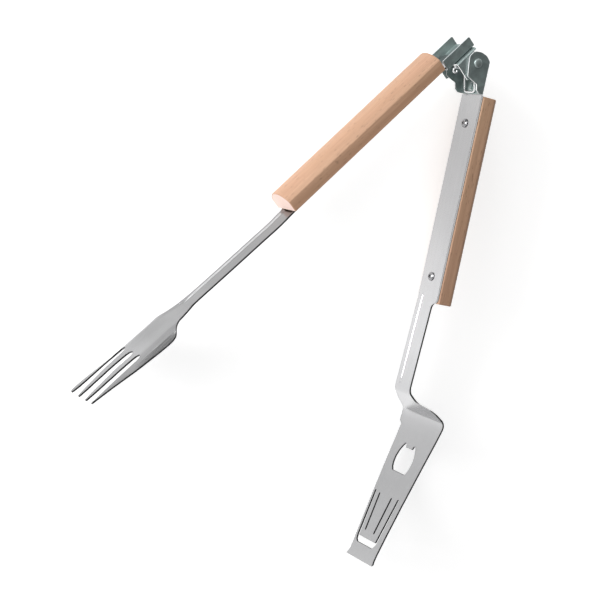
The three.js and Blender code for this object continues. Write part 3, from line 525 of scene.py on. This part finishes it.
# ------------------------------------------------------------------ grips
def build_grip(name, place, body, node, z0, u0, end_top, end_low, mat, sign):
    """Wooden bar: flat against the tang, flat sides, arched crown, softened arrises and ends."""
    fork = place is FORK
    half, wall, crown, c = (13.2, 8.2, 14.8, 0.4) if fork else (13.2, 8.7, 14.8, 1.3)
    pts = []
    for i in range(7):                                   # softened inner arrises, then the sides and the crown
        a = math.pi / 2 * i / 6
        pts.append((-half + c * (1 - math.cos(a)), c * (1 - math.sin(a))))
    for i in range(7):
        a = math.pi / 2 * i / 6
        pts.append((half - c * (1 - math.sin(a)), c * (1 - math.cos(a))))
    pts.append((half, wall * 0.5))
    n = 44
    if fork:
        r0 = (half**2 + (crown - wall) ** 2) / (2 * (crown - wall))
        a0 = math.asin(half / r0)
        pts.append((half, wall - 0.35))
        for i in range(n + 1):
            a = (a0 - 2 * a0 * i / n) * 0.985
            pts.append((r0 * math.sin(a), crown - r0 + r0 * math.cos(a)))
        pts.append((-half, wall - 0.35))
    else:
        for i in range(n + 1):
            a = math.pi * i / n
            ce, se = math.cos(a), math.sin(a)
            pts.append((half * math.copysign(abs(ce) ** 0.82, ce), wall + (crown - wall) * abs(se) ** 0.82))
    pts.append((-half, wall * 0.5))
    ring = pts
    cz, cu = 0.0, 6.6
    stations = []
    r = 0.75
    for k in range(5):
        a = math.pi / 2 * k / 4
        stations.append((r * (1 - math.sin(a)), r * (1 - math.cos(a))))      # (inset, distance from the end)
    length = abs(end_low - end_top)
    rows = [(s[1], s[0]) for s in stations]
    for i in range(1, 24):
        rows.append((r + (length - 2 * r) * i / 24, 0.0))
    rows += [(length - s[1], s[0]) for s in reversed(stations)]
    bm = bmesh.new()
    grid = []
    for dist, inset in rows:
        line = []
        for z, u in ring:
            dz, du = z - cz, u - cu
            d = math.hypot(dz, du)
            kz = 1 - inset / max(abs(d), 1e-6)
            line.append(bm.verts.new((u0 + cu + du * kz, end_top + sign * dist, z0 + cz + dz * kz)))
        grid.append(line)
    for a, b in zip(grid[:-1], grid[1:]):
        for i in range(len(ring)):
            j = (i + 1) % len(ring)
            bm.faces.new((a[i], a[j], b[j], b[i]))
    caps = [bm.faces.new(grid[0]), bm.faces.new(grid[-1])]
    for f in caps:
        f.material_index = 1
    return to_object(scaled(bm), name, place, body, [mat, END_F if fork else END_T], [node], smooth=28)


# ------------------------------------------------------------------ brackets and socket
def build_sheet_piece(name, node, place, body, is_edge, width=0.13, edge_mat=None):
    bm = from_cad(node, place, join=0.06, flat=0.5)
    bm.normal_update()
    # Painted highlight: the edge faces that is_edge picks get the bright edge material.
    for f in bm.faces:
        f.material_index = 1 if is_edge(f.normal, f.calc_center_median()) else 0
    bevel_sharp(bm, 40, width, 2)
    return to_object(scaled(bm), name, place, body, [PLATE, edge_mat or PLATE_EDGE], [node], smooth=34)


# Picks the edge faces of the hinge plates and the socket that get the painted highlight.
def bracket_edge(n, c, web):
    if abs(n.z) > 0.35:
        return False
    if c.x > web - 1.35 and abs(n.x) > 0.8:
        return False
    if n.x < -0.8 and c.x > web - 2.6 and abs(c.z) < 12:
        return False
    return abs(n.y) > 0.12 or c.x < web - 1.6


def socket_edge(n, c):
    return abs(n.y) > 0.4 or (n.x > 0.5 and c.x > 16.5)


# ------------------------------------------------------------------ turned pieces
def lathe(name, profile, axis, origin, place, body, mats, replaces, seg=48, cross=None, smooth=30):
    """profile: (radius, height) from axis to axis; axis 'x' or 'z' of the arm's frame."""
    bm = bmesh.new()
    rows = []
    for r, h in profile:
        if r < 1e-6:
            rows.append([(0.0, 0.0, h)])
        else:
            rows.append([(r * math.cos(2 * math.pi * i / seg), r * math.sin(2 * math.pi * i / seg), h) for i in range(seg)])
    made = []
    for row in rows:
        line = []
        for a, b, h in row:
            p = (h, a, b) if axis == "x" else (a, b, h)
            line.append(bm.verts.new(Vector(p) + Vector(origin)))
        made.append(line)
    closed = profile[0][0] > 1e-6
    pairs = list(zip(made[:-1], made[1:])) + ([(made[-1], made[0])] if closed else [])
    for a, b in pairs:
        for i in range(seg):
            j = (i + 1) % seg
            if len(a) == 1 and len(b) == 1:
                continue
            if len(a) == 1:
                bm.faces.new((a[0], b[j], b[i]))
            elif len(b) == 1:
                bm.faces.new((a[i], a[j], b[0]))
            else:
                bm.faces.new((a[i], a[j], b[j], b[i]))
    bmesh.ops.recalc_face_normals(bm, faces=bm.faces)
    if cross:
        me = bpy.data.meshes.new(name + "_blank")
        bm.to_mesh(me)
        bm.free()
        blank = bpy.data.objects.new(name + "_blank", me)
        bpy.context.scene.collection.objects.link(blank)
        cut = bmesh.new()
        for turn in (0.0, math.pi / 2):
            made = bmesh.ops.create_cube(cut, size=1.0)["verts"]
            # tapered arms of the cross recess
            for v in made:
                deep = v.co.x > 0
                v.co = Vector((v.co.x * 2.0, v.co.y * (2.3 if deep else 3.7), v.co.z * (0.55 if deep else 0.95)))
            bmesh.ops.rotate(cut, verts=made, cent=(0, 0, 0), matrix=Matrix.Rotation(turn + cross[1], 3, "X"))
            bmesh.ops.translate(cut, verts=made, vec=Vector(origin) + Vector((cross[0], 0, 0)))
        cme = bpy.data.meshes.new(name + "_cut")
        cut.to_mesh(cme)
        cut.free()
        cutter = bpy.data.objects.new(name + "_cut", cme)
        bpy.context.scene.collection.objects.link(cutter)
        mod = blank.modifiers.new("recess", "BOOLEAN")
        mod.operation, mod.solver, mod.object = "DIFFERENCE", "EXACT", cutter
        mod.use_self = True
        bpy.context.view_layer.update()
        done = bpy.data.meshes.new_from_object(blank.evaluated_get(bpy.context.evaluated_depsgraph_get()))
        bpy.data.objects.remove(blank)
        bpy.data.objects.remove(cutter)
        bm = bmesh.new()
        bm.from_mesh(done)
        bmesh.ops.remove_doubles(bm, verts=bm.verts, dist=0.002)
        o = Vector(origin)
        # Painted shade: the faces inside the cross recess, and its floor, get the near-black recess material.
        for f in bm.faces:
            c = f.calc_center_median()
            inside = (c.y - o.y) ** 2 + (c.z - o.z) ** 2 < 1.95**2 and abs(f.normal.x) < 0.5 and c.x < cross[0] + 1.2
            f.material_index = 1 if inside or (abs(f.normal.x) > 0.99 and abs(c.x - cross[0] - 1.0) < 0.06) else 0
    return to_object(scaled(bm), name, place, body, mats, replaces, smooth=smooth)


def tube(name, pts, r, sides, place, body, mat, node):
    """A round wire along points (mm), with rounded ends."""
    pts = [Vector(p) for p in pts]
    bm = bmesh.new()
    tan = [(pts[min(i + 1, len(pts) - 1)] - pts[max(i - 1, 0)]).normalized() for i in range(len(pts))]
    nrm = tan[0].orthogonal().normalized()
    rings = []

    def ring(p, t, nn, rad):
        b = t.cross(nn)
        return [bm.verts.new(p + (nn * math.cos(2 * math.pi * k / sides) + b * math.sin(2 * math.pi * k / sides)) * rad) for k in range(sides)]
    for i, (p, tt) in enumerate(zip(pts, tan)):
        if i:
            nrm = (nrm - tt * nrm.dot(tt)).normalized()
        if i == 0:
            for k in (0.3, 0.75):
                rings.append(ring(p - tt * r * (1 - k) * 0.3, tt, nrm, r * math.sin(math.acos(1 - k))))
        rings.append(ring(p, tt, nrm, r))
        if i == len(pts) - 1:
            for k in (0.75, 0.3):
                rings.append(ring(p + tt * r * (1 - k) * 0.3, tt, nrm, r * math.sin(math.acos(1 - k))))
    for a, b in zip(rings[:-1], rings[1:]):
        for k in range(sides):
            j = (k + 1) % sides
            bm.faces.new((a[k], a[j], b[j], b[k]))
    bm.faces.new(list(reversed(rings[0])))
    bm.faces.new(rings[-1])
    return to_object(scaled(bm), name, place, body, [mat], [node], smooth=50, weighted=False)


def catmull(points, per=10):
    """Centripetal Catmull-Rom through points."""
    P = [np.array(p, float) for p in points]
    P = [2 * P[0] - P[1]] + P + [2 * P[-1] - P[-2]]
    out = []
    for i in range(1, len(P) - 2):
        p0, p1, p2, p3 = P[i - 1], P[i], P[i + 1], P[i + 2]
        t0 = 0.0
        t1 = t0 + max(1e-6, np.linalg.norm(p1 - p0)) ** 0.5
        t2 = t1 + max(1e-6, np.linalg.norm(p2 - p1)) ** 0.5
        t3 = t2 + max(1e-6, np.linalg.norm(p3 - p2)) ** 0.5
        for k in range(per):
            s = t1 + (t2 - t1) * k / per
            a1 = (t1 - s) / (t1 - t0) * p0 + (s - t0) / (t1 - t0) * p1
            a2 = (t2 - s) / (t2 - t1) * p1 + (s - t1) / (t2 - t1) * p2
            a3 = (t3 - s) / (t3 - t2) * p2 + (s - t2) / (t3 - t2) * p3
            b1 = (t2 - s) / (t2 - t0) * a1 + (s - t0) / (t2 - t0) * a2
            b2 = (t3 - s) / (t3 - t1) * a2 + (s - t1) / (t3 - t1) * a3
            out.append((t2 - s) / (t2 - t1) * b1 + (s - t1) / (t2 - t1) * b2)
    out.append(P[-2])
    return out


# ------------------------------------------------------------------ build everything
build_turner()
build_fork()
build_grip("turner_grip", TURNER, "turner_arm", "turner_handle", 0.0, 10.97 + 1.2 + 0.3, -21.4, -21.4 - 152.8, WOOD_T, -1)
build_grip("fork_grip", FORK, "fork_tool", "fork_handle", -0.5, 11.2 + 1.2 + 0.3, 22.6, 22.6 + 152.8, WOOD_F, 1)

build_sheet_piece("turner_hinge_plate", "turner_bracket", TURNER, "turner_arm", lambda n, c: bracket_edge(n, c, 10.65))
build_sheet_piece("fork_hinge_plate", "fork_bracket", FORK, "fork_joint", lambda n, c: bracket_edge(n, c, 9.6))
build_sheet_piece("fork_socket_channel", "fork_socket", FORK, "fork_joint", socket_edge, edge_mat=PLATE_DULL)

HR, SR, HH = 3.3, 1.75, 1.7


def screw(name, node, face, y, z, place, body, turn):
    head = face - 0.3
    tip = face + 1.2 + 0.3 + 9.0 - 1.0
    prof = [(0, head - HH)]
    for k in range(1, 9):
        a = math.pi / 2 * k / 8
        prof.append((2.95 * math.sin(a) ** 0.9, head - 0.42 - (HH - 0.42) * math.cos(a) ** 1.3))
    prof += [(3.18, head - 0.30), (3.26, head - 0.2), (3.26, head - 0.06), (3.2, head), (SR, head), (SR, tip - 2.4), (1.2, tip - 1.4), (0.25, tip), (0, tip)]
    lathe(name, prof, "x", (0, y, z), place, body, [SCREW, RECESS], [node], cross=(head - HH + 0.15, turn), smooth=38)


screw("turner_wood_screw_upper", "turner_screw_upper", 10.97, -42.0, -1.0, TURNER, "turner_arm", 0.35)
screw("turner_wood_screw_lower", "turner_screw_lower", 10.97, -155.6, -1.0, TURNER, "turner_arm", 0.9)
screw("fork_wood_screw_upper", "fork_screw_upper", 11.2, 42.0, -0.5, FORK, "fork_tool", 0.15)
screw("fork_wood_screw_lower", "fork_screw_lower", 11.2, 155.6, -0.5, FORK, "fork_tool", 0.6)


def web_rivet(name, node, u0, u1, y, z, place, body):
    c, r = 0.3, 1.6
    prof = [(0, u0 - c - 1.0)]
    for k in range(1, 8):
        a = math.pi / 2 * k / 8
        prof.append((2.55 * math.sin(a), u0 - c - 1.0 * math.cos(a)))
    prof += [(2.6, u0 - c - 0.1), (2.6, u0 - c), (r, u0 - c), (r, u1 + c), (2.45, u1 + c), (2.5, u1 + c + 0.12), (2.3, u1 + c + 0.5),
             (1.8, u1 + c + 0.74), (1.2, u1 + c + 0.85), (0.9, u1 + c + 0.8), (0.7, u1 + c + 0.55), (0, u1 + c + 0.5)]
    lathe(name, prof, "x", (0, y, z), place, body, [BRIGHT], [node])


web_rivet("turner_plate_rivet_lower", "turner_rivet_lower", 10.65 - 1.1, 10.97 + 1.2, -5.5, -5.0, TURNER, "turner_arm")
web_rivet("turner_plate_rivet_upper", "turner_rivet_upper", 10.65 - 1.1, 10.97 + 1.2, -5.5, 6.0, TURNER, "turner_arm")
web_rivet("socket_spot_rivet_outer", "socket_rivet_outer", 9.6 - 1.1, 9.9 + 1.0, -3.2, -0.5, FORK, "fork_joint")
web_rivet("socket_spot_rivet_inner", "socket_rivet_inner", 9.6 - 1.1, 9.9 + 1.0, 3.2, -0.5, FORK, "fork_joint")

top, low = 15.3, -15.25
under = low - 0.8 - 0.3
pin = [(0, under - 1.3)]
for k in range(1, 8):
    a = math.pi / 2 * k / 8
    pin.append((3.0 * math.sin(a), under - 1.3 * math.cos(a)))
pin += [(3.0, under), (2.0, under), (2.0, top), (3.35, top), (3.4, top + 0.1)]
for k in range(1, 9):
    a = math.pi / 2 * (1 - k / 9)
    pin.append((3.4 * math.sin(a), top + 0.1 + 1.2 * math.cos(a)))
pin += [(0, top + 1.31)]
lathe("hinge_pin", pin, "z", (0, 0, 0), TURNER, "turner_arm", [RIVET], ["hinge_rivet"])
lathe("hinge_pin_washer", [(2.32, low - 0.8), (4.1, low - 0.8), (4.2, low - 0.7), (4.2, low - 0.1), (4.1, low), (2.32, low)], "z", (0, 0, 0), TURNER, "turner_arm", [BRIGHT], ["hinge_washer"])
lathe("hinge_spacer", [(2.32, -12.1), (3.0, -12.1), (3.1, -12.0), (3.1, 12.05), (3.0, 12.15), (2.32, 12.15)], "z", (0, 0, 0), TURNER, "turner_arm", [BRIGHT], ["hinge_bush"])

# double torsion spring
W_R, C_R, PITCH, TURNS, LZ = 0.65, 4.25, 1.42, 2.25, (-7.0, 5.4)
run, start = PITCH * TURNS, -0.12


def coil(z0, z1, a0, a1, n=110):
    return [(C_R * math.cos(a0 + (a1 - a0) * i / n), C_R * math.sin(a0 + (a1 - a0) * i / n), z0 + (z1 - z0) * i / n) for i in range(n + 1)]


loop = [(5.0, -5, LZ[0]), (7.3, -13.5, LZ[0]), (8.4, -17.6, LZ[0]), (8.55, -19.2, LZ[0] + 0.9), (8.6, -19.5, LZ[0] + 2.4),
        (8.6, -19.5, LZ[1] - 2.4), (8.55, -19.2, LZ[1] - 0.9), (8.4, -17.6, LZ[1]), (7.3, -13.5, LZ[1]), (5.0, -5, LZ[1])]
first = coil(LZ[0] - run, LZ[0], start + 2 * math.pi * TURNS, start)
second = coil(LZ[1], LZ[1] + run, start, start + 2 * math.pi * TURNS)
middle = catmull([first[-4], first[-1], *loop, second[0], second[3]], 9)[9:-9]
tube("spring_coils_and_loop", first[:-1] + [tuple(p) for p in middle] + second[1:], W_R, 14, TURNER, "turner_arm", WIRE, "torsion_spring")


def leg(z):
    p = [(C_R * math.cos(-0.9 + 0.85 * i / 6), C_R * math.sin(-0.9 + 0.85 * i / 6), z) for i in range(7)]
    p += [(5.1, 5, z), (6.7, 11.5, z), (7.3, 14.2, z)]
    p += [(6.0 + 1.55 * math.cos(-0.35 + math.pi * 1.35 * i / 8), 15.6 + 1.55 * math.sin(-0.35 + math.pi * 1.35 * i / 8), z) for i in range(9)]
    return [tuple(x) for x in catmull(p, 6)]


tube("spring_arm_upper", leg(LZ[1] + run + PITCH), W_R, 14, FORK, "fork_joint", WIRE, "spring_leg_upper")
tube("spring_arm_lower", leg(LZ[0] - run - PITCH), W_R, 14, FORK, "fork_joint", WIRE, "spring_leg_lower")

# ------------------------------------------------------------------ floor and light
fl = bpy.data.meshes.new("floor")
fl.from_pydata([(-5, -5, 0), (5, -5, 0), (5, 5, 0), (-5, 5, 0)], [], [(0, 1, 2, 3)])
floor = bpy.data.objects.new("floor", fl)
floor.location.z = -0.0003
bpy.context.scene.collection.objects.link(floor)
fm = bpy.data.materials.new("studio_floor")
nt, b = nodes_of(fm)
b.inputs["Base Color"].default_value = (0.85, 0.85, 0.85, 1)
b.inputs["Roughness"].default_value = 0.9
b.inputs["Specular IOR Level"].default_value = 0.1
# Painted light: the floor glows, brightest around the tongs and dimmer further out, a painted pool of light that washes
# out cast shadows.
b.inputs["Emission Color"].default_value = (1, 1, 1, 1)
fn = Net(nt)
ln = nt.nodes.new("ShaderNodeVectorMath")
ln.operation = "LENGTH"
nt.links.new(fn.coord, ln.inputs[0])
fn.link(fn.span(ln.outputs["Value"], 0.40, 2.2, 0.52, 0.30), b.inputs["Emission Strength"])
fl.materials.append(fm)

world = bpy.data.worlds.new("studio")
bpy.context.scene.world = world
world.use_nodes = True
wt = world.node_tree
wt.nodes.clear()
wo = wt.nodes.new("ShaderNodeOutputWorld")
bg = wt.nodes.new("ShaderNodeBackground")
tc = wt.nodes.new("ShaderNodeTexCoord")
dot = wt.nodes.new("ShaderNodeVectorMath")
dot.operation = "DOT_PRODUCT"
dot.inputs[1].default_value = Vector((0.60, -0.10, 0.80)).normalized()
mr = wt.nodes.new("ShaderNodeMapRange")
mr.interpolation_type = "SMOOTHSTEP"
mr.inputs[1].default_value, mr.inputs[2].default_value = 0.30, 0.92
mr.inputs[3].default_value, mr.inputs[4].default_value = 0.95, 0.10
wt.links.new(tc.outputs["Generated"], dot.inputs[0])
wt.links.new(dot.outputs["Value"], mr.inputs[0])
dot2 = wt.nodes.new("ShaderNodeVectorMath")
dot2.operation = "DOT_PRODUCT"
dot2.inputs[1].default_value = Vector((-0.45, 0.88, 0.06)).normalized()
mr2 = wt.nodes.new("ShaderNodeMapRange")
mr2.interpolation_type = "SMOOTHSTEP"
mr2.inputs[1].default_value, mr2.inputs[2].default_value = 0.80, 0.97
mr2.inputs[3].default_value, mr2.inputs[4].default_value = 1.0, 0.8
mul = wt.nodes.new("ShaderNodeMath")
mul.operation = "MULTIPLY"
wt.links.new(tc.outputs["Generated"], dot2.inputs[0])
wt.links.new(dot2.outputs["Value"], mr2.inputs[0])
wt.links.new(mr.outputs[0], mul.inputs[0])
wt.links.new(mr2.outputs[0], mul.inputs[1])
wt.links.new(mul.outputs[0], bg.inputs["Strength"])
bg.inputs["Color"].default_value = (1, 1, 1, 1)
wt.links.new(bg.outputs[0], wo.inputs[0])


def area(name, at, to, size, power, size_y=None):
    d = bpy.data.lights.new(name, "AREA")
    d.shape = "RECTANGLE"
    d.size, d.size_y, d.energy = size, size_y or size, power
    o = bpy.data.objects.new(name, d)
    bpy.context.scene.collection.objects.link(o)
    o.location = at
    o.rotation_mode = "QUATERNION"
    o.rotation_quaternion = (Vector(to) - Vector(at)).to_track_quat("-Z", "Y")


area("edge_strip", (-0.90, 0.10, 0.62), (0.0, 0.0, 0.02), 0.34, 0.5, 0.24)
area("fork_strip", (-0.50, 0.92, 0.50), (-0.05, 0.02, 0.02), 0.30, 0.9, 0.16)
area("key_softbox", (-1.14, 0.30, 0.39), (-0.02, 0.0, 0.02), 0.8, 14.0, 0.45)

bpy.context.scene.view_settings.view_transform = "Standard"
bpy.context.scene.view_settings.look = "None"

import json
